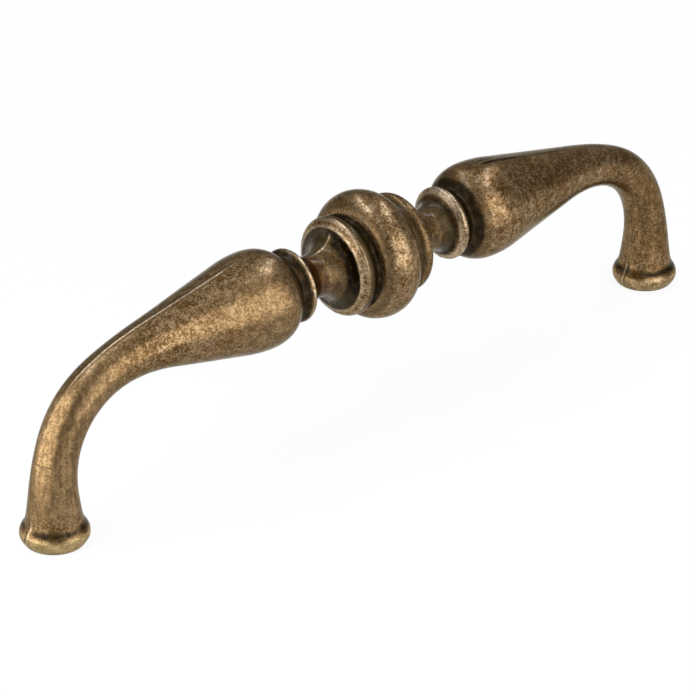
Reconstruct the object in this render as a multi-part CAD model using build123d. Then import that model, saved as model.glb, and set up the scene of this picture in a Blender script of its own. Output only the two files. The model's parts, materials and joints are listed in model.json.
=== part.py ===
from build123d import *
import os
from math import cos, hypot, radians, sin, tan

# Bar pull for a drawer or a cabinet door, die cast in one piece.
# A turned centre, with a bead, two cups and two necks, carries a pear shaped arm on each side.
# Each arm bends down like a swan's neck into a round foot. A screw through the door or the
# drawer front is driven into the blind tapped hole in each foot.
# Millimetres. The feet stand on Z = 0 and the bar lies along X. The origin is midway between
# the feet, and the two sides of X = 0 are alike.

# Fixing
hole_spacing = 128.0         # between the two fixing holes
bar_height = 26.4            # from the mounting face up to the axis of the bar

# Centre bead and the grooves beside it
bead_radius = 10.45
bead_side_radius = 8.1       # where the bead's flank turns into the groove
bead_half_width = 3.65       # from the middle to that turn
bead_flank_lean = 76.0       # how steeply the flank falls there, in degrees
groove_radius = 7.25
groove_half_width = 0.7

# Cups: each has a rim with a slanting lip between two soft edges, and is hollowed down steeply
# from the inner edge to a thin neck. All leans are measured from the line of the bar, in degrees
cup_radius = 8.15
cup_back_length = 1.75       # from the bottom of the groove to the top of the rim
cup_crown_length = 0.85      # from the top of the rim to the outer edge of its lip
cup_edge_radius = 7.82
cup_edge_lean = 54.0
cup_lip_length = 0.65        # from the outer to the inner edge of the lip
cup_mouth_radius = 6.86
cup_mouth_lean = 58.0
cup_wall_length = 0.22       # from the inner edge to the steep wall of the hollow
cup_wall_radius = 6.35
cup_wall_lean = 80.0
cup_hollow_length = 3.98     # from the wall to the thinnest place of the neck
neck_radius = 3.55

# Collars: a thin ring at the head of each arm, with a slanting lip round the flare of the neck
neck_flare_length = 3.3      # from the thinnest place of the neck to the steep end of its flare
neck_flare_radius = 4.95
neck_flare_lean = 60.0
collar_edge_length = 0.2     # from there to the inner edge of the lip
collar_mouth_radius = 5.2
collar_mouth_lean = 46.0
collar_lip_length = 0.9      # from the inner edge to the top of the collar
collar_radius = 6.0
collar_back_length = 1.85
collar_groove_radius = 5.35

# Arms: a pear shaped bulb, a straight taper, and the bend down into the leg
bulb_root_length = 0.85      # from the bottom of the collar's groove to the bulb's shoulder
bulb_root_rise = 0.7
bulb_root_lean = 50.0
bulb_shoulder_length = 4.9
bulb_radius = 7.95
bulb_crown_half = 2.0        # half the length over which the crown turns into the taper
bend_reach = 22.5            # how far along X the bend takes
bend_bar_pull = 0.63         # shares of the bend's reach and drop over which it leaves the
bend_leg_pull = 0.75         # line of the bar, and comes into the line of the leg
leg_radius = 3.4             # the thinnest place of the leg
leg_run_in = 6.8             # half the length over which the taper turns into the leg

# Feet: the leg swells down to the ankle, and a rounded rim stands round the foot
leg_straight = 7.0           # the last stretch of the leg goes straight down
ankle_height = 4.5
ankle_radius = 4.3
ankle_lean = 80.0            # how steeply the ankle stands, in degrees
swell_length = 11.5          # the length of leg that swells, above the ankle
foot_neck_radius = 4.85
foot_neck_height = 3.0
foot_neck_lean = 56.0
foot_rim_radius = 5.4
foot_rim_height = 1.55
foot_face_radius = 4.7
foot_face_lean = 35.0        # how far the rim has turned in where it meets the face

# Blind tapped holes for M4 screws, one in each foot
tap_drill_radius = 1.65
hole_depth = 12.0            # to the end of the full bore
drill_point_angle = 118.0
hole_chamfer = 0.4

# Shape of the drawn curves and of the lofted arm
handle_share = 0.37          # length of a curve's handles, as a share of its chord
station_step = 3.0           # longest step between two sections of the arm
taper_lead = 4.0             # stretch of the straight taper that is lofted with the bend

# Places along the bar, from the centre outwards
groove_x = bead_half_width + groove_half_width
cup_x = groove_x + cup_back_length
cup_edge_x = cup_x + cup_crown_length
cup_mouth_x = cup_edge_x + cup_lip_length
cup_wall_x = cup_mouth_x + cup_wall_length
neck_x = cup_wall_x + cup_hollow_length
neck_flare_x = neck_x + neck_flare_length
collar_mouth_x = neck_flare_x + collar_edge_length
collar_x = collar_mouth_x + collar_lip_length
collar_groove_x = collar_x + collar_back_length
bulb_root_x = collar_groove_x + bulb_root_length
bulb_x = bulb_root_x + bulb_shoulder_length
taper_x = bulb_x + 2 * bulb_crown_half
foot_x = hole_spacing / 2
bend_x = foot_x - bend_reach
loft_x = bend_x - taper_lead

# The taper runs straight from the bulb's crown to the leg, so its slope follows from both
taper_slope = (bulb_radius - leg_radius) / (bend_x + leg_run_in - bulb_x - bulb_crown_half)


def arm_radius(distance):
    """Radius of the arm at a distance along its centre line, counted from the bend's start."""
    radius = leg_radius
    to_leg = 2 * leg_run_in - distance
    if distance < 0:
        radius += taper_slope * (leg_run_in - distance)
    elif to_leg > 0:
        radius += taper_slope * to_leg ** 2 / (4 * leg_run_in)
    into_swell = distance - (bend.length + leg_straight - ankle_height - swell_length)
    if into_swell > 0:
        radius += (ankle_radius - leg_radius) * (into_swell / swell_length) ** 2
    return radius


def flowing_outline(points):
    """Smooth chain of curves through (across, up, direction in degrees), in the XZ plane."""
    chain = []
    for (x0, z0, turn0), (x1, z1, turn1) in zip(points, points[1:]):
        handle = handle_share * hypot(x1 - x0, z1 - z0)
        leave = (x0 + handle * cos(radians(turn0)), 0, z0 + handle * sin(radians(turn0)))
        arrive = (x1 - handle * cos(radians(turn1)), 0, z1 - handle * sin(radians(turn1)))
        chain.append(Bezier((x0, 0, z0), leave, arrive, (x1, 0, z1)))
    return chain


def turned(outline, *corners, axis):
    """Solid of revolution of an outline that is closed by straight lines over the corners."""
    start = outline[0] @ 0
    end = outline[-1] @ 1
    closing = Polyline(end, *corners, start)
    return revolve(make_face([*outline, *closing.edges()]), axis=axis)


# Turned centre, from the middle of the bead to where the loft of the arm takes over
bar_outline = flowing_outline([
    (0, bar_height + bead_radius, 0),
    (bead_half_width, bar_height + bead_side_radius, -bead_flank_lean),
    (groove_x, bar_height + groove_radius, 0),
    (cup_x, bar_height + cup_radius, 0),
    (cup_edge_x, bar_height + cup_edge_radius, -cup_edge_lean),
    (cup_mouth_x, bar_height + cup_mouth_radius, -cup_mouth_lean),
    (cup_wall_x, bar_height + cup_wall_radius, -cup_wall_lean),
    (neck_x, bar_height + neck_radius, 0),
    (neck_flare_x, bar_height + neck_flare_radius, neck_flare_lean),
    (collar_mouth_x, bar_height + collar_mouth_radius, collar_mouth_lean),
    (collar_x, bar_height + collar_radius, 0),
    (collar_groove_x, bar_height + collar_groove_radius, 0),
    (bulb_root_x, bar_height + collar_groove_radius + bulb_root_rise, bulb_root_lean),
    (bulb_x, bar_height + bulb_radius, 0),
])
crown = Bezier(
    (bulb_x, 0, bar_height + bulb_radius),
    (bulb_x + bulb_crown_half, 0, bar_height + bulb_radius),
    (taper_x, 0, bar_height + bulb_radius - taper_slope * bulb_crown_half),
)

# Centre line of the bend, level where it leaves the bar and upright where it meets the leg
bend_drop = bar_height - leg_straight
bend = Bezier(
    (bend_x, 0, bar_height),
    (bend_x + bend_bar_pull * bend_reach, 0, bar_height),
    (foot_x, 0, leg_straight + bend_leg_pull * bend_drop),
    (foot_x, 0, leg_straight),
)

taper = Line(crown @ 1, (loft_x, 0, bar_height + arm_radius(-taper_lead)))
bar_axis = Axis((0, 0, bar_height), (1, 0, 0))
turned_half = turned(
    [*bar_outline, crown, taper], (loft_x, 0, bar_height), (0, 0, bar_height), axis=bar_axis)

# Arm: round sections across the centre line, from the straight taper to the ankle
arm_path = Wire([
    Line((loft_x, 0, bar_height), bend @ 0),
    bend,
    Line(bend @ 1, (foot_x, 0, ankle_height)),
])
station_count = int(arm_path.length / station_step) + 2
sections = []
for station in range(station_count):
    share = station / (station_count - 1)
    across = Plane(arm_path @ share, x_dir=(0, 1, 0), z_dir=arm_path % share)
    radius = arm_radius(share * arm_path.length - taper_lead)
    sections.append(across * Circle(radius))
arm = loft(sections)

# Foot, turned about the axis of the fixing hole
foot_outline = flowing_outline([
    (foot_x + ankle_radius, ankle_height, -ankle_lean),
    (foot_x + foot_neck_radius, foot_neck_height, -foot_neck_lean),
    (foot_x + foot_rim_radius, foot_rim_height, -90),
    (foot_x + foot_face_radius, 0, -90 - foot_face_lean),
])
hole_axis = Axis((foot_x, 0, 0), (0, 0, 1))
foot = turned(foot_outline, (foot_x, 0, 0), (foot_x, 0, ankle_height), axis=hole_axis)

# Blind bore left by the tap drill, with a chamfered mouth and a pointed end
drill_point = tap_drill_radius / tan(radians(drill_point_angle / 2))
bore_outline = [
    Polyline(
        (foot_x, 0, 0),
        (foot_x + tap_drill_radius + hole_chamfer, 0, 0),
        (foot_x + tap_drill_radius, 0, hole_chamfer),
        (foot_x + tap_drill_radius, 0, hole_depth),
        (foot_x, 0, hole_depth + drill_point),
    )
]
bore = turned(bore_outline, axis=hole_axis)

half = turned_half + arm + foot - bore
pull_casting = half + mirror(half, about=Plane.YZ)
pull_casting.label = "pull_casting"

os.makedirs("parts", exist_ok=True)
export_step(pull_casting, "parts/pull_casting.step")
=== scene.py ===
import json
from math import atan2, cos, hypot, pi, radians, sin, tan

import bpy
from mathutils import Matrix, Vector, noise


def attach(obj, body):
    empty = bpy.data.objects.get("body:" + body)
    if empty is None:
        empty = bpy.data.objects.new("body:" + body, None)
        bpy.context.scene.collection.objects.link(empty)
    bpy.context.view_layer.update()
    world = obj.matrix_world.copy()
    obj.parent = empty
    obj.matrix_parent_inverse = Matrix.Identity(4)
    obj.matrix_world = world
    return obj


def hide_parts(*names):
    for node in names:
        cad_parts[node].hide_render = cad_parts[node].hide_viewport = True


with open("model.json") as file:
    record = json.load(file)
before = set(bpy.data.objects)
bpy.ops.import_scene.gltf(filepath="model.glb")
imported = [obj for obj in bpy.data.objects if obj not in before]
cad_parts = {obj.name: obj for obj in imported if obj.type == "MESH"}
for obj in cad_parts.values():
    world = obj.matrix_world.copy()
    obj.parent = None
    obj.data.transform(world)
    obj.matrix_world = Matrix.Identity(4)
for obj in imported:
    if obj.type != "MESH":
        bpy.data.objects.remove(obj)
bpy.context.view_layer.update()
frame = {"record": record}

# The pull. One casting in zinc alloy, from a mould of two halves that meet in the upright plane of
# the bar. It is tumbled smooth, brass plated, stained dark and buffed by hand until the brass shows
# again on the high places. The holes for its two screws are drilled and tapped last.
mm = 0.001

# Fixing. All sizes of the pull are in millimetres, and leans are in degrees
fixings = {mount["name"]: mount for mount in frame["record"]["mounts"]}
foot_x = fixings["right_fixing_hole"]["pos_m"][0] / mm
tap_drill_radius = fixings["right_fixing_hole"]["dims"]["r_mm"]
bar_height = 26.4

# Centre bead and the grooves beside it. The two sides of the pull are alike, and lengths along the
# bar are counted from its middle outwards
bead_radius = 10.45
bead_side_radius = 8.1
bead_half_width = 3.65
bead_flank_lean = 76.0
groove_radius = 7.25
groove_half_width = 0.7

# Cups: each has a rim with a slanting lip between two soft edges, and is hollow down to the neck
cup_radius = 8.15
cup_back_length = 1.75
cup_crown_length = 0.85
cup_edge_radius = 7.82
cup_edge_lean = 54.0
cup_lip_length = 0.65
cup_mouth_radius = 6.86
cup_mouth_lean = 58.0
cup_wall_length = 0.22
cup_wall_radius = 6.35
cup_wall_lean = 80.0
cup_hollow_length = 3.98
neck_radius = 3.55

# Collars: a thin ring at the head of each arm, with a slanting lip round the flare of the neck
neck_flare_length = 3.3
neck_flare_radius = 4.95
neck_flare_lean = 60.0
collar_edge_length = 0.2
collar_mouth_radius = 5.2
collar_mouth_lean = 46.0
collar_lip_length = 0.9
collar_radius = 6.0
collar_back_length = 1.85
collar_groove_radius = 5.35

# Arms: a pear shaped bulb, a straight taper, and the bend down into the leg
bulb_root_length = 0.85
bulb_root_rise = 0.7
bulb_root_lean = 50.0
bulb_shoulder_length = 4.9
bulb_radius = 7.95
bulb_crown_half = 2.0
bend_reach = 22.5
bend_bar_pull = 0.63
bend_leg_pull = 0.75
leg_radius = 3.4
leg_run_in = 6.8

# Feet: the leg swells down to the ankle, and a rounded rim stands round the foot
leg_straight = 7.0
ankle_height = 4.5
ankle_radius = 4.3
ankle_lean = 80.0
swell_length = 11.5
foot_neck_radius = 4.85
foot_neck_height = 3.0
foot_neck_lean = 56.0
foot_rim_radius = 5.4
foot_rim_height = 1.55
foot_face_radius = 4.7
foot_face_lean = 35.0

# Places along the bar, from the centre outwards
groove_x = bead_half_width + groove_half_width
cup_x = groove_x + cup_back_length
cup_edge_x = cup_x + cup_crown_length
cup_mouth_x = cup_edge_x + cup_lip_length
cup_wall_x = cup_mouth_x + cup_wall_length
neck_x = cup_wall_x + cup_hollow_length
neck_flare_x = neck_x + neck_flare_length
collar_mouth_x = neck_flare_x + collar_edge_length
collar_x = collar_mouth_x + collar_lip_length
collar_groove_x = collar_x + collar_back_length
bulb_root_x = collar_groove_x + bulb_root_length
bulb_x = bulb_root_x + bulb_shoulder_length
taper_x = bulb_x + 2 * bulb_crown_half
bend_x = foot_x - bend_reach

# The drawn curves, as long handles make them: a share of each chord
handle_share = 0.37


def on_curve(poles, share):
    """Point at a share of a smooth curve through its first and last pole."""
    while len(poles) > 1:
        poles = [
            tuple(a + (b - a) * share for a, b in zip(pole, following))
            for pole, following in zip(poles, poles[1:])
        ]
    return poles[0]


def drawn(poles, longest=0.42, sharpest=radians(7.5), fineness=160):
    """Points along a curve, closer together where it turns, without its last point."""
    fine = [on_curve(poles, step / fineness) for step in range(fineness + 1)]
    measure = [0.0]
    heading = None
    for start, end in zip(fine, fine[1:]):
        turn = atan2(end[1] - start[1], end[0] - start[0])
        bent = 0.0 if heading is None else abs((turn - heading + pi) % (2 * pi) - pi)
        heading = turn
        length = hypot(end[0] - start[0], end[1] - start[1])
        measure.append(measure[-1] + length / longest + bent / sharpest)
    count = int(measure[-1]) + 1
    picked = []
    reached = 0
    for step in range(count):
        while measure[reached + 1] < measure[-1] * step / count:
            reached += 1
        picked.append(fine[reached])
    return picked


def flowing(places):
    """Drawn points of a chain of curves through (across, up, direction in degrees)."""
    outline = []
    for (x0, y0, turn0), (x1, y1, turn1) in zip(places, places[1:]):
        handle = handle_share * hypot(x1 - x0, y1 - y0)
        leave = (x0 + handle * cos(radians(turn0)), y0 + handle * sin(radians(turn0)))
        arrive = (x1 - handle * cos(radians(turn1)), y1 - handle * sin(radians(turn1)))
        outline += drawn([(x0, y0), leave, arrive, (x1, y1)])
    return outline


# Turned centre: bead, groove, cup, neck, collar and bulb, as far as the straight taper, whose slope
# follows from the bulb and the leg
taper_slope = (bulb_radius - leg_radius) / (bend_x + leg_run_in - bulb_x - bulb_crown_half)
turned_outline = flowing([
    (0.0, bead_radius, 0),
    (bead_half_width, bead_side_radius, -bead_flank_lean),
    (groove_x, groove_radius, 0),
    (cup_x, cup_radius, 0),
    (cup_edge_x, cup_edge_radius, -cup_edge_lean),
    (cup_mouth_x, cup_mouth_radius, -cup_mouth_lean),
    (cup_wall_x, cup_wall_radius, -cup_wall_lean),
    (neck_x, neck_radius, 0),
    (neck_flare_x, neck_flare_radius, neck_flare_lean),
    (collar_mouth_x, collar_mouth_radius, collar_mouth_lean),
    (collar_x, collar_radius, 0),
    (collar_groove_x, collar_groove_radius, 0),
    (bulb_root_x, collar_groove_radius + bulb_root_rise, bulb_root_lean),
    (bulb_x, bulb_radius, 0),
])
turned_outline += drawn([
    (bulb_x, bulb_radius),
    (bulb_x + bulb_crown_half, bulb_radius),
    (taper_x, bulb_radius - taper_slope * bulb_crown_half),
])

# Swan's neck: the centre line bends down from the bar into the leg
taper_rings = 28
ankle_rings = 8
bend_poles = [
    (bend_x, bar_height),
    (bend_x + bend_bar_pull * bend_reach, bar_height),
    (foot_x, leg_straight + bend_leg_pull * (bar_height - leg_straight)),
    (foot_x, leg_straight),
]
centre_line = []
for step in range(taper_rings):
    centre_line.append((taper_x + (bend_x - taper_x) * step / taper_rings, bar_height))
centre_line += drawn(bend_poles, sharpest=radians(2.2))
for step in range(ankle_rings):
    centre_line.append((foot_x, leg_straight - (leg_straight - ankle_height) * step / ankle_rings))


def length_of(line):
    """Length of a line of points."""
    return sum(hypot(b[0] - a[0], b[1] - a[1]) for a, b in zip(line, line[1:]))


bend_steps = 400
bend_length = length_of([on_curve(bend_poles, step / bend_steps) for step in range(bend_steps + 1)])


def arm_radius(distance):
    """Radius of the arm at a distance along its centre line, counted from the bend's start."""
    radius = leg_radius
    to_leg = 2 * leg_run_in - distance
    if distance < 0:
        radius += taper_slope * (leg_run_in - distance)
    elif to_leg > 0:
        radius += taper_slope * to_leg ** 2 / (4 * leg_run_in)
    into_swell = distance - (bend_length + leg_straight - ankle_height - swell_length)
    if into_swell > 0:
        radius += (ankle_radius - leg_radius) * (into_swell / swell_length) ** 2
    return radius


# A ring is its centre (x, z), the direction of its outer side (x, z), its radius and its kind
rings = [((x, bar_height), (0.0, 1.0), radius, "bar") for x, radius in turned_outline]
travelled = taper_x - bend_x
for place, centre in enumerate(centre_line):
    before = centre_line[max(place - 1, 0)]
    after = centre_line[min(place + 1, len(centre_line) - 1)]
    if place:
        travelled += length_of([before, centre])
    run = length_of([before, after])
    out = ((before[1] - after[1]) / run, (after[0] - before[0]) / run)
    rings.append((centre, out, arm_radius(travelled), "arm"))

# Foot: the rim, its flat face and the chamfered mouth of the hole
hole_chamfer = 0.4
face_rings = 8
mouth_radius = tap_drill_radius + hole_chamfer
foot_outline = flowing([
    (ankle_radius, ankle_height, -ankle_lean),
    (foot_neck_radius, foot_neck_height, -foot_neck_lean),
    (foot_rim_radius, foot_rim_height, -90),
    (foot_face_radius, 0.0, -90 - foot_face_lean),
])
rings += [((foot_x, height), (1.0, 0.0), radius, "foot") for radius, height in foot_outline]
for step in range(face_rings + 1):
    radius = foot_face_radius + (mouth_radius - foot_face_radius) * step / face_rings
    rings.append(((foot_x, 0.0), (1.0, 0.0), radius, "face"))

# Tapped hole: an M4 thread, and the point that the drill left
thread_pitch = 0.7
thread_depth = 0.38
thread_end = 11.4
thread_run_out = 0.8
hole_depth = 12.0
drill_point_angle = 118.0
rings_a_turn = 5
thread_rings = int((thread_end - hole_chamfer) / thread_pitch * rings_a_turn)
for step in range(thread_rings + 1):
    height = hole_chamfer + (thread_end - hole_chamfer) * step / thread_rings
    rings.append(((foot_x, height), (1.0, 0.0), tap_drill_radius, "thread"))
rings.append(((foot_x, hole_depth), (1.0, 0.0), tap_drill_radius, "drilled"))
drill_tip = hole_depth + tap_drill_radius / tan(radians(drill_point_angle / 2))

# Both sides as one chain of rings, from the left drill point over the bar to the right one
mirrored = [((-x, z), (-a, b), radius, kind) for (x, z), (a, b), radius, kind in reversed(rings[1:])]
chain = mirrored + rings


def ramp(value, low, high):
    """0 below low, 1 above high, and a smooth rise between."""
    share = min(max((value - low) / (high - low), 0.0), 1.0)
    return share * share * (3 - 2 * share)


def between(value, low, full, fading, gone):
    """0 up to low, 1 from full to fading, 0 again from gone on, and smooth slopes between."""
    return ramp(value, low, full) * ramp(-value, -gone, -fading)


# The stain stays where the buffing wheel can't reach, and the edges beside those places are worn bright.
# In the cups and round the necks, where the rims and collars shade them, the stain and the black are
# partly painted shade, and a few spans are only darker, as noted. Spans of distance from the middle of
# the bar, each with its strength and soft border.
stain_spans = (
    # Darker on the bead's flanks
    (bead_half_width - 0.8, bead_half_width, 0.4, 0.3),
    (bead_half_width + 0.1, groove_x + 0.4, 0.9, 0.12),
    (groove_x, cup_x + 0.45, 0.8, 0.2),
    # A darker band along the middle of each cup's lip
    (cup_edge_x + 0.2, cup_mouth_x - 0.25, 0.24, 0.4),
    # From here to the collar's mouth, in the cups' hollows and where the collars shade the necks, this
    # stain is partly painted shade
    (cup_mouth_x + 0.06, cup_mouth_x + 0.5, 0.95, 0.1),
    (cup_mouth_x + 0.3, cup_wall_x + 1.0, 0.9, 0.4),
    (cup_wall_x + 0.6, neck_x - 0.9, 0.55, 0.4),
    (neck_x - 0.9, neck_x + 0.9, 0.55, 0.4),
    (neck_x + 0.9, collar_mouth_x - 0.12, 0.8, 0.4),
    (collar_x + 0.45, bulb_root_x + 0.6, 0.9, 0.4),
    (bulb_root_x, bulb_root_x + 1.8, 0.42, 0.4),
)
black_spans = (
    (bead_half_width - 0.1, groove_x + 0.3, 0.7, 0.25),
    # In the cups and by the collars' mouths the black is partly painted shade
    (cup_mouth_x + 0.08, cup_mouth_x + 0.5, 0.9, 0.1),
    (cup_mouth_x + 0.3, cup_wall_x + 0.75, 0.9, 0.35),
    (collar_mouth_x - 0.7, collar_mouth_x - 0.1, 0.6, 0.25),
    (collar_x + 0.5, bulb_root_x + 0.5, 0.6, 0.25),
)
red_spans = (
    (neck_x - 0.4, collar_mouth_x - 0.8, 1.0, 0.5),
)
worn_spans = (
    (-1.0, bead_half_width - 1.1, 0.18, 0.1),
    (cup_edge_x - 0.3, cup_edge_x + 0.15, 0.8, 0.12),
    (cup_mouth_x - 0.2, cup_mouth_x + 0.04, 1.0, 0.1),
    (neck_x - 1.6, neck_x + 0.7, 0.2, 0.3),
    (collar_mouth_x - 0.08, collar_x + 0.3, 0.9, 0.1),
)


def within(spans, distance):
    """Strength of the spans at a distance."""
    strength = 0.0
    for near, far, share, blur in spans:
        inside = between(distance, near - blur, near + blur, far - blur, far + blur)
        strength = max(strength, share * inside)
    return strength


def ring_finish(x, height, kind):
    """Stain, black, red, wear and gold that a ring of the pull has all round. In the cups and round the
    necks the stain and black are partly painted shade, and on the foot's rim the wear and gold are
    partly a painted highlight.
    """
    if kind == "bar":
        # The crown of the right cup was buffed cleaner than that of the left one
        cleaner = between(x, cup_x - 1.0, cup_x - 0.4, cup_edge_x, cup_edge_x + 0.2)
        stain = within(stain_spans, abs(x)) * (1 - 0.65 * cleaner)
        red = within(red_spans, abs(x)) * (1.0 if x < 0 else 0.35)
        return stain, within(black_spans, abs(x)), red, within(worn_spans, abs(x)), 0.0
    if kind == "foot" or kind == "arm" and height < ankle_height + 1:
        # Stain round the ankle, over a rim rubbed to gold and painted brighter as a highlight, more on
        # the left foot
        stain = 0.78 * between(height, 2.4, 3.0, 3.1, 4.3)
        wear = 0.6 * between(height, -0.1, 0.5, 2.0, 2.6)
        return stain, 0.7 * stain, 0.0, wear, wear * (1.2 if x < 0 else 0.6)
    return 0.0, 0.0, 0.0, 0.0, 0.0


# The mould's halves leave a raised seam along the top and the underside. It was buffed away on
# the bulbs and the bead, and still shows on the left arm, in the left cup and beside the feet.
# Across it, points lie at these distances from its middle, with these shares of its height and of the
# dark painted beside it as its shadow. On the right side's top that painted shadow is darker.
seam_height = 0.10
seam_steps = (-0.75, -0.36, -0.16, 0.0, 0.16, 0.36, 0.80)
seam_rises = (0.0, 0.0, 0.7, 1.0, 0.7, 0.0, 0.0)
seam_stains = (0.1, 0.6, 0.0, 0.0, 0.0, 0.8, 0.2)
right_seam_stains = (0.9, 1.1, 0.0, 0.0, 0.0, 1.1, 0.3)
seam_least_radius = 3.0
between_seams = 40


def round_the_ring(x, radius):
    """Angle from the top, rise of the seam and the painted shadow beside it, for each point of a ring.
    """
    wide = max(radius, seam_least_radius)
    steps = []
    for side in (0.0, pi):
        stains = right_seam_stains if side == 0.0 and x > 0 else seam_stains
        for step, rise, stain in zip(seam_steps, seam_rises, stains):
            steps.append((side + step / wide, rise, stain))
        span = pi - (seam_steps[-1] - seam_steps[0]) / wide
        start = side + seam_steps[-1] / wide
        for step in range(1, between_seams + 1):
            steps.append((start + span * step / (between_seams + 1), 0.0, 0.0))
    return steps


def seam_strength(x, kind, upper):
    """How much of the seam the buffing left, along the bar."""
    if kind in ("face", "thread", "drilled"):
        return 0.0
    if kind == "foot":
        return 0.8
    if not upper:
        return 0.75 - 0.35 * ramp(abs(x), bend_x + 2.5, foot_x - 8.0)
    left_arm = ramp(-x, bulb_x + 0.2, bulb_x + 6.2) * (1 - 0.85 * ramp(-x, foot_x - 8.0, foot_x - 3.0))
    left_cup = between(-x, cup_mouth_x, cup_mouth_x + 0.6, neck_x - 0.8, neck_x + 1.2)
    right_arm = between(x, bulb_x - 0.8, bulb_x + 1.7, bend_x - 1.5, bend_x + 8.5)
    right_arm *= 1 - 0.5 * ramp(x, bulb_x + 5.2, bulb_x + 10.2)
    right_leg = 0.35 * ramp(x, foot_x - 9.0, foot_x - 2.0)
    return max(left_arm, left_cup, right_arm, right_leg)


def thread_cut(x, height, angle):
    """How deep the thread is cut, round a right hand helix that fades out at both ends."""
    turned = angle if x > 0 else -angle
    phase = (height / thread_pitch - turned / (2 * pi)) % 1.0
    groove = min(max(1.6 * (0.5 - abs(phase - 0.5)) * 2 - 0.3, 0.0), 1.0)
    fade = between(height, hole_chamfer, hole_chamfer + 0.2, thread_end - thread_run_out, thread_end)
    return thread_depth * fade * groove


def swell(here):
    """Slow swells of a few hundredths, because cast and tumbled metal is never quite true."""
    wide = 0.030 * noise.noise(here * 0.16)
    return wide + 0.014 * noise.noise(here * 0.45 + Vector((7, 0, 0)))


def on_ring(centre, out, radius, angle):
    """Point of a ring at an angle from its outer side."""
    across = radius * cos(angle)
    return Vector((centre[0] + across * out[0], radius * sin(angle), centre[1] + across * out[1]))


# Points of the mesh, each with the shares from 0 to 1 that the finish reads
points = []
painted_shares = {name: [] for name in (
    "hollow", "blackened", "reddish", "dulled", "evened",
    "worn", "bare", "seamed", "gilded", "on_leg",
)}


def add_point(here, **shares):
    """Add a point with its finish. A share that isn't named is 0."""
    points.append(here * mm)
    for name, values in painted_shares.items():
        values.append(shares.get(name, 0.0))


# A wide pale patch of even colour on the front of the left bulb, where the front lamp's reflection lies:
# a painted sheen. It is long along the bar
patch_centre = Vector((-27.0, -7.0, 28.5))
patch_flatness = 0.55

for centre, out, radius, kind in chain:
    x, height = centre
    stain, black, red, wear, gold = ring_finish(x, height, kind)
    for angle, rise, seam_stain in round_the_ring(x, radius):
        upper = cos(angle) > 0
        strength = seam_strength(x, kind, upper)
        local = radius
        if kind == "thread":
            local += thread_cut(x, height, angle)
        here = on_ring(centre, out, local, angle)
        if kind in ("bar", "arm", "foot"):
            flat_end = ramp(height, 0.0, 1.0) if kind == "foot" else 1.0
            seam_patch = 0.75 + 0.5 * noise.noise(here * 0.22 + Vector((0, 19, 0)))
            local += swell(here) * flat_end + seam_height * strength * rise * seam_patch
            here = on_ring(centre, out, local, angle)

        pooled = patchy = 1.0
        if -neck_x < x < -cup_mouth_x:
            # In the left cup the black is thickest above the neck, towards the front: painted shade,
            # since the back of the hollow catches the light
            pooled = 0.35 + 0.65 * ramp(-sin(angle), -0.3, 0.4) * ramp(cos(angle), -0.7, 0.1)
        elif kind != "bar":
            # Round the ankles it lies unevenly
            patchy = pooled = 0.88 + 0.6 * noise.noise(here * 0.33 + Vector((29, 0, 0)))
        # Painted shadow beside the seam, darkest and black on the right side's top
        beside_seam = seam_stain * strength
        black_seam = 0.8 * beside_seam if upper and x > 0 else 0.0
        left_leg = 0.65 * ramp(-x, bend_x + 2.5, foot_x - 6.0)
        right_leg = 0.4 * ramp(x, foot_x - 12.0, foot_x - 2.0)
        leg_share = (left_leg + right_leg) * ramp(height, 2.5, leg_straight)
        off_patch = here - patch_centre
        off_patch.x *= patch_flatness
        add_point(
            here,
            hollow=max(stain * patchy, beside_seam) * (1 - 0.9 * rise * strength),
            blackened=max(black * pooled, black_seam),
            reddish=red,
            # The right leg and foot are painted darker, as shade
            dulled=ramp(x, foot_x - 16.0, foot_x - 4.0),
            evened=max(leg_share, 0.45 * ramp(-off_patch.length, -8.0, -3.0)),
            on_leg=leg_share,
            worn=wear,
            gilded=gold,
            bare=1.0 if kind in ("thread", "drilled") else 0.0,
            # The seam's ridge is worn bright, and on the left side's top painted brighter still, as its
            # highlight
            seamed=strength * rise * (1.0 if upper and x < 0 else 0.4),
        )

ring_size = 2 * (len(seam_steps) + between_seams)
faces = []
for ring in range(len(chain) - 1):
    first = ring * ring_size
    beyond = first + ring_size
    for step in range(ring_size):
        following = (step + 1) % ring_size
        faces.append((first + step, beyond + step, beyond + following, first + following))
for ring, side in ((0, -1), (len(chain) - 1, 1)):
    tip = len(points)
    add_point(Vector((side * foot_x, 0.0, drill_tip)), bare=1.0)
    for step in range(ring_size):
        edge = (ring * ring_size + step, ring * ring_size + (step + 1) % ring_size)
        faces.append((*edge, tip) if side > 0 else (*reversed(edge), tip))

casting_mesh = bpy.data.meshes.new("dressed_casting")
casting_mesh.from_pydata(points, [], faces)
casting_mesh.validate()
casting_mesh.polygons.foreach_set("use_smooth", [True] * len(casting_mesh.polygons))
for name, values in painted_shares.items():
    layer = casting_mesh.attributes.new(name, "FLOAT", "POINT")
    layer.data.foreach_set("value", values)
casting = bpy.data.objects.new("dressed_casting", casting_mesh)
bpy.context.scene.collection.objects.link(casting)

# Antique brass: brass plate under a dark brown stain, rubbed through in fine speckles
brass = bpy.data.materials.new("antique_brass")
brass.use_nodes = True
nodes = brass.node_tree.nodes
links = brass.node_tree.links
shader = nodes["Principled BSDF"]
place_in_mm = nodes.new("ShaderNodeVectorMath")
place_in_mm.operation = "SCALE"
place_in_mm.inputs["Scale"].default_value = 1 / mm
links.new(nodes.new("ShaderNodeTexCoord").outputs["Object"], place_in_mm.inputs[0])


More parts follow.
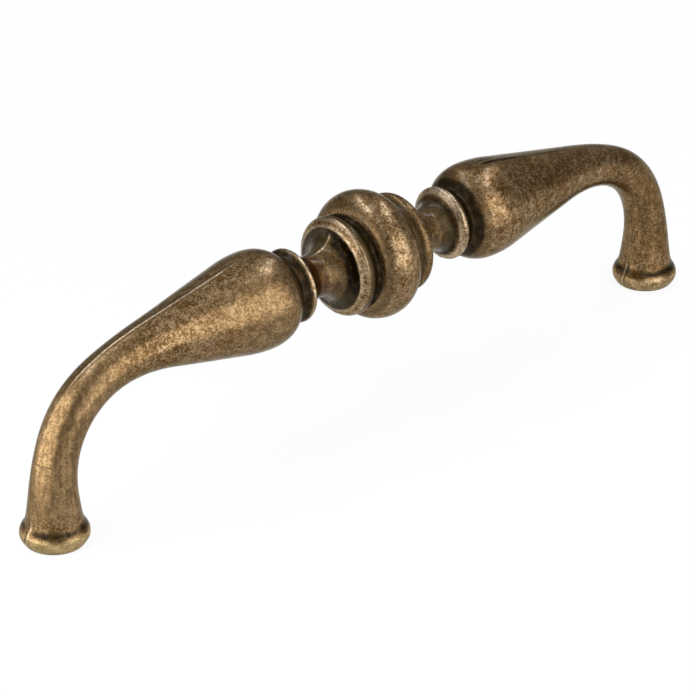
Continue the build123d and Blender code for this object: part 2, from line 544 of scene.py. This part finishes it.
def cloud(size, detail, shift, height=1.0):
    """Noise with patches of a size in millimetres, and of a height as a multiple of that."""
    node = nodes.new("ShaderNodeTexNoise")
    node.inputs["Scale"].default_value = 1 / size
    node.inputs["Detail"].default_value = detail
    node.inputs["Roughness"].default_value = 0.55
    moved = nodes.new("ShaderNodeVectorMath")
    moved.operation = "MULTIPLY_ADD"
    moved.inputs[1].default_value = (1, 1, 1 / height)
    moved.inputs[2].default_value = (shift, 2 * shift, -shift)
    links.new(place_in_mm.outputs[0], moved.inputs[0])
    links.new(moved.outputs[0], node.inputs["Vector"])
    return node.outputs["Fac"]


def joined(kind, *values):
    """Result of one arithmetic step on values, each a socket or a number."""
    node = nodes.new("ShaderNodeMath")
    node.operation = kind
    for socket, value in zip(node.inputs, values):
        if isinstance(value, (int, float)):
            socket.default_value = value
        else:
            links.new(value, socket)
    return node.outputs[0]


def sum_of(*parts):
    """Sum of values, each given with its weight."""
    total = 0.0
    for value, weight in parts:
        total = joined("MULTIPLY_ADD", value, weight, total)
    return total


def spread(value, low, high, to_low=0.0, to_high=1.0):
    """A value mapped smoothly from one span to another."""
    node = nodes.new("ShaderNodeMapRange")
    node.interpolation_type = "SMOOTHSTEP"
    links.new(value, node.inputs["Value"])
    for name, number in (("From Min", low), ("From Max", high), ("To Min", to_low), ("To Max", to_high)):
        node.inputs[name].default_value = number
    return node.outputs[0]


def mixed(share, first, second):
    """Colour between two colours, each a socket or (red, green, blue)."""
    node = nodes.new("ShaderNodeMix")
    node.data_type = "RGBA"
    links.new(share, node.inputs["Factor"])
    for name, value in (("A", first), ("B", second)):
        socket = [s for s in node.inputs if s.name == name and s.type == "RGBA"][0]
        if isinstance(value, tuple):
            socket.default_value = (*value, 1.0)
        else:
            links.new(value, socket)
    return [s for s in node.outputs if s.type == "RGBA"][0]


def painted(name):
    """Share that the points of the mesh carry."""
    node = nodes.new("ShaderNodeAttribute")
    node.attribute_name = name
    return node.outputs["Fac"]


brass_brown = (0.096, 0.050, 0.011)
brass_umber = (0.116, 0.053, 0.011)
brass_buffed = (0.266, 0.178, 0.096)
brass_bright = (0.390, 0.306, 0.206)
brass_even = (0.222, 0.141, 0.064)
dull_even = (0.162, 0.095, 0.038)
rim_gold = (0.400, 0.290, 0.125)
stain_olive = (0.055, 0.036, 0.011)
stain_black = (0.009, 0.0045, 0.0010)
stain_red = (0.040, 0.014, 0.003)
zinc_grey = (0.42, 0.41, 0.39)
blotches = cloud(size=5.5, detail=2.0, shift=3.0)
mottle = cloud(size=1.25, detail=3.0, shift=11.0)
speckle = cloud(size=0.38, detail=2.0, shift=23.0)
pinpoints = cloud(size=0.19, detail=1.0, shift=31.0)
off_mottle = joined("SUBTRACT", mottle, 0.5)

# How far the brass is rubbed free, with the seam's painted highlight and the right leg's painted shade
# in it. The clouds alone give about 2.3
still_dull = 1.95
buffed_free = 2.75
rubbed = sum_of(
    (blotches, 0.7), (mottle, 1.1), (speckle, 1.5), (pinpoints, 1.3),
    (painted("worn"), 0.55), (painted("dulled"), -0.10), (painted("seamed"), 0.85),
)
dull = mixed(spread(cloud(size=3.1, detail=2.0, shift=47.0), 0.4, 0.6), brass_brown, brass_umber)
colour = mixed(spread(rubbed, still_dull, buffed_free), dull, brass_buffed)
polished = spread(sum_of((rubbed, 1.0), (painted("worn"), 0.3)), 2.65, 3.5)
colour = mixed(polished, colour, brass_bright)
# Even tone on the legs and a painted sheen on the front of the left bulb; on the right leg a darker
# copy, painted as shade
colour = mixed(painted("evened"), colour, mixed(painted("dulled"), brass_even, dull_even))
# The foot's rim: worn gold, partly a painted highlight
colour = mixed(painted("gilded"), colour, rim_gold)

# The stain in the hollows has a ragged border. It is olive brown where it is thin and black where it is
# thick, and red brown round the necks. In the cups and round the necks it is partly painted shade, and
# beside the seam it is a painted shadow
uneven = joined("SUBTRACT", sum_of((mottle, 0.9), (speckle, 0.6)), 0.75)
ragged = sum_of((painted("hollow"), 1.0), (uneven, 1.8))
stained = joined("MULTIPLY", spread(ragged, 0.1, 0.9), spread(painted("hollow"), 0.0, 0.3))
black_share = spread(joined("ADD", painted("blackened"), off_mottle), -0.2, 1.0)
red_share = spread(joined("ADD", painted("reddish"), off_mottle), 0.2, 0.8)
stain_colour = mixed(black_share, stain_olive, stain_black)
stain_colour = mixed(red_share, stain_colour, stain_red)
colour = mixed(stained, colour, stain_colour)

# Fine grain all over, and strokes of the buffing wheel down the legs
grain = sum_of((speckle, 1.0), (pinpoints, 0.6))
strokes = joined("SUBTRACT", cloud(size=0.6, detail=2.0, shift=61.0, height=10.0), 0.5)
leg_strokes = joined("MULTIPLY", strokes, painted("on_leg"))
shade = sum_of((grain, 1.0), (mottle, 0.8), (leg_strokes, 2.4))
grainy = nodes.new("ShaderNodeVectorMath")
grainy.operation = "SCALE"
links.new(colour, grainy.inputs[0])
links.new(spread(shade, 0.85, 1.55, 0.68, 1.32), grainy.inputs["Scale"])
colour = grainy.outputs[0]

# A hairline scratch across the outer side of the left leg
scratch_height = 13.86
scratch_left_of = -65.6
scratch_fade = 0.3
scratch_darkness = 0.6
axes = nodes.new("ShaderNodeSeparateXYZ")
links.new(place_in_mm.outputs[0], axes.inputs[0])
level = joined("SUBTRACT", axes.outputs["Z"], scratch_height)
off_line = spread(joined("ABSOLUTE", sum_of((level, 1.0), (off_mottle, 0.5))), 0.05, 0.11)
off_side = spread(axes.outputs["X"], scratch_left_of - scratch_fade, scratch_left_of + scratch_fade)
scratch = joined("SUBTRACT", 1.0, joined("MAXIMUM", off_line, off_side))
colour = mixed(joined("MULTIPLY", scratch, scratch_darkness), colour, stain_black)

# The thread is cut through the plate to the bare alloy
colour = mixed(painted("bare"), colour, zinc_grey)
links.new(colour, shader.inputs["Base Color"])
shader.inputs["Metallic"].default_value = 1.0
shader.inputs["Specular Tint"].default_value = (0.55, 0.52, 0.43, 1.0)
buffed_rough = spread(rubbed, 1.9, 2.9, 0.35, 0.29)
links.new(sum_of((buffed_rough, 1.0), (stained, 0.26)), shader.inputs["Roughness"])

# A thin lacquer, which lies thicker on the stain and on the painted shade, but not where they are black
on_stain = joined("SUBTRACT", 0.40, joined("MULTIPLY", black_share, 0.60))
coat = joined("ADD", joined("MULTIPLY", stained, on_stain), 0.42)
links.new(coat, shader.inputs["Coat Weight"])
shader.inputs["Coat Roughness"].default_value = 0.16
shader.inputs["Coat IOR"].default_value = 1.26
bump = nodes.new("ShaderNodeBump")
bump.inputs["Strength"].default_value = 0.35
bump.inputs["Distance"].default_value = 0.02 * mm
links.new(grain, bump.inputs["Height"])
links.new(bump.outputs[0], shader.inputs["Normal"])
casting_mesh.materials.append(brass)
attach(casting, "root")
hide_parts("pull_casting")

# The floor: a plain white table top, which isn't part of the pull. It is lit by the lamps and
# keeps the pull's soft shadow. Towards the camera and in the brass it looks white.
floor_half = 1.6
floor_drop = 0.02 * mm
white_share = 0.90
corners = [(-1, -1), (1, -1), (1, 1), (-1, 1)]
floor_mesh = bpy.data.meshes.new("floor")
floor_points = [(x * floor_half, y * floor_half, -floor_drop) for x, y in corners]
floor_mesh.from_pydata(floor_points, [], [(0, 1, 2, 3)])
floor = bpy.data.objects.new("floor", floor_mesh)
bpy.context.scene.collection.objects.link(floor)
white = bpy.data.materials.new("white_table")
white.use_nodes = True
nodes = white.node_tree.nodes
links = white.node_tree.links
paint = nodes["Principled BSDF"]
paint.inputs["Base Color"].default_value = (0.86, 0.86, 0.86, 1)
paint.inputs["Roughness"].default_value = 0.9
paint.inputs["Specular IOR Level"].default_value = 0.0
glow = nodes.new("ShaderNodeEmission")
glow.inputs["Color"].default_value = (1, 1, 1, 1)
glow.inputs["Strength"].default_value = 1.0
rays = nodes.new("ShaderNodeLightPath")
seen = joined("MAXIMUM", rays.outputs["Is Camera Ray"], rays.outputs["Is Glossy Ray"])
seen = joined("MAXIMUM", seen, rays.outputs["Is Transmission Ray"])
either = nodes.new("ShaderNodeMixShader")
links.new(joined("MULTIPLY", seen, white_share), either.inputs["Fac"])
links.new(paint.outputs[0], either.inputs[1])
links.new(glow.outputs[0], either.inputs[2])
links.new(either.outputs[0], nodes["Material Output"].inputs["Surface"])
floor_mesh.materials.append(white)

# Studio light, in metres: a wide soft panel in front with a fainter, larger one just behind it, a
# reflector card beside the left leg with a pale wall behind it, two cool lamp strips under the
# roof of a light tent, and a dim room beyond.
camera_azimuth = -42.6285
up = Vector((0, 0, 1))


def direction(azimuth, elevation):
    """Unit vector towards a place round the pull. Azimuth 0 is in front and 90 off its right end."""
    a = radians(azimuth)
    e = radians(elevation)
    return Vector((sin(a) * cos(e), -cos(a) * cos(e), sin(e)))


def lamp_holder(name, place, length, away, width, height, radiance, tint=(1.0, 0.985, 0.96)):
    """Rectangular lamp that shines against a direction. A radiance of 1 is white."""
    lamp = bpy.data.lights.new(name, "AREA")
    lamp.shape = "RECTANGLE"
    lamp.size = width
    lamp.size_y = height
    lamp.energy = radiance * pi * width * height
    lamp.color = tint
    holder = bpy.data.objects.new(name, lamp)
    holder.location = place
    holder.rotation_euler = Matrix((length, away.cross(length), away)).transposed().to_euler()
    holder.visible_camera = False
    bpy.context.scene.collection.objects.link(holder)


def upright_lamp(name, start, end, height, radiance):
    """Lamp that stands on the floor between two places, and lights the side where the pull is."""
    start = Vector((*start, 0.0))
    end = Vector((*end, 0.0))
    middle = (start + end) / 2
    length = (end - start).normalized()
    away = length.cross(up)
    if away.dot(middle) < 0:
        away = -away
    lamp_holder(name, middle + up * height / 2, length, away, (end - start).length, height, radiance)


upright_lamp("front_panel", start=(-0.060, -0.170), end=(0.125, -0.165), height=0.20, radiance=1.24)
upright_lamp("front_glow", start=(-0.100, -0.172), end=(0.160, -0.167), height=0.25, radiance=1.0)
upright_lamp("left_card", start=(-0.100, 0.050), end=(-0.112, -0.030), height=0.080, radiance=2.1)
upright_lamp("left_wall", start=(-0.085, 0.101), end=(-0.220, -0.046), height=0.23, radiance=0.8)
to_camera = direction(camera_azimuth, 0)
to_right = direction(camera_azimuth + 90, 0)
strip_aside = 0.131
strip_height = 0.316
strip_width = 0.040
strip_tint = (0.90, 1.0, 1.18)
right_strip_place = strip_aside * to_right - 0.180 * to_camera + strip_height * up
left_strip_place = -strip_aside * to_right - 0.1145 * to_camera + strip_height * up
lamp_holder("right_strip", right_strip_place, to_camera, up, 0.348, strip_width, 7.5, strip_tint)
lamp_holder("left_strip", left_strip_place, to_camera, up, 0.429, strip_width, 6.0, strip_tint)
room = bpy.data.worlds.new("room")
bpy.context.scene.world = room
room.use_nodes = True
nodes = room.node_tree.nodes
links = room.node_tree.links
axes = nodes.new("ShaderNodeSeparateXYZ")
links.new(nodes.new("ShaderNodeTexCoord").outputs["Generated"], axes.inputs[0])
links.new(spread(axes.outputs["Z"], 0.62, 0.95, 0.40, 0.86), nodes["Background"].inputs["Strength"])
nodes["Background"].inputs["Color"].default_value = (1, 1, 1, 1)

# The camera stands where the photograph was taken from, to the left and above, with a long lens.
# It looks at a point a little left of the middle, at half the height of the arms.
camera_elevation = 27.8909
camera_distance = 0.65282
focal_pixels = 4129.1
photo_pixels = 696
sensor = 36.0
looked_at = Vector((-4.0312, 0.0, 11.1076)) * mm
lens = bpy.data.cameras.new("camera")
lens.sensor_width = sensor
lens.lens = focal_pixels * sensor / photo_pixels
camera = bpy.data.objects.new("camera", lens)
towards = direction(camera_azimuth, camera_elevation)
camera.location = looked_at + towards * camera_distance
camera.rotation_euler = towards.to_track_quat("Z", "Y").to_euler()
bpy.context.scene.collection.objects.link(camera)
bpy.context.scene.camera = camera
bpy.context.scene.view_settings.view_transform = "Standard"
